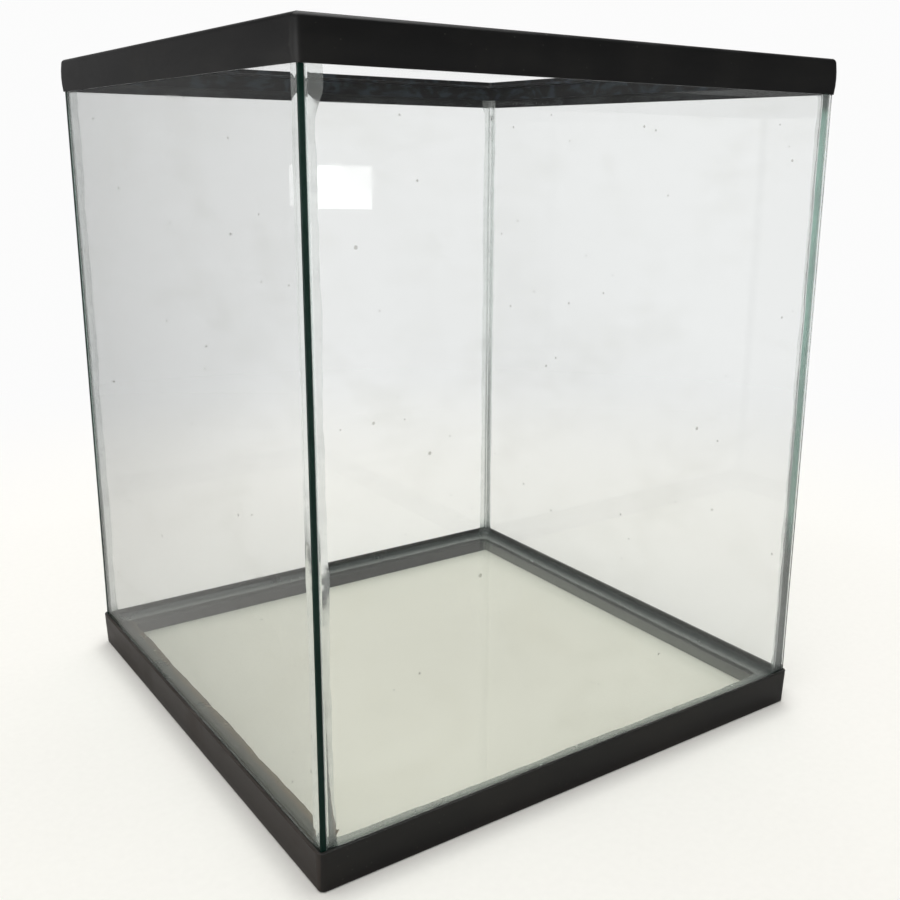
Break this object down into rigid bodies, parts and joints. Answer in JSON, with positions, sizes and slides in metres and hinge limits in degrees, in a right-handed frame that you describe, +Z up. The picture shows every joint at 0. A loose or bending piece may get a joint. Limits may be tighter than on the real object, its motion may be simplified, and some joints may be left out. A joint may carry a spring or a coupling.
{
  "type": "cube aquarium",
  "caption": "Open-topped glass tank, square in plan and a little taller than wide: float glass walls and a raised floor pane bonded with silicone between black moulded rims.",
  "frame": {"origin": "middle of the base, on the surface that the tank stands on", "axes": "+Z up through the open mouth, -Y out of the front pane, +X to the right seen from the front"},
  "size_m": [0.3036, 0.3036, 0.359],
  "materials": {
    "glass": "clear float glass, green at its edges",
    "silicone": "clear to milky aquarium silicone, wiped",
    "rim_plastic": "black moulded plastic, satin"
  },
  "bodies": {
    "root": {"front_pane": "glass", "right_pane": "glass", "back_pane": "glass", "left_pane": "glass", "bottom_pane": "glass", "corner_seal_front_left": "silicone", "corner_seal_front_right": "silicone", "corner_seal_back_right": "silicone", "corner_seal_back_left": "silicone", "floor_seal_front": "silicone", "floor_seal_right": "silicone", "floor_seal_back": "silicone", "floor_seal_left": "silicone", "top_bond_front": "silicone", "top_bond_right": "silicone", "top_bond_back": "silicone", "top_bond_left": "silicone", "bottom_bond_front": "silicone", "bottom_bond_right": "silicone", "bottom_bond_back": "silicone", "bottom_bond_left": "silicone", "top_frame": "rim_plastic", "bottom_frame": "rim_plastic"}
  },
  "joints": []
}
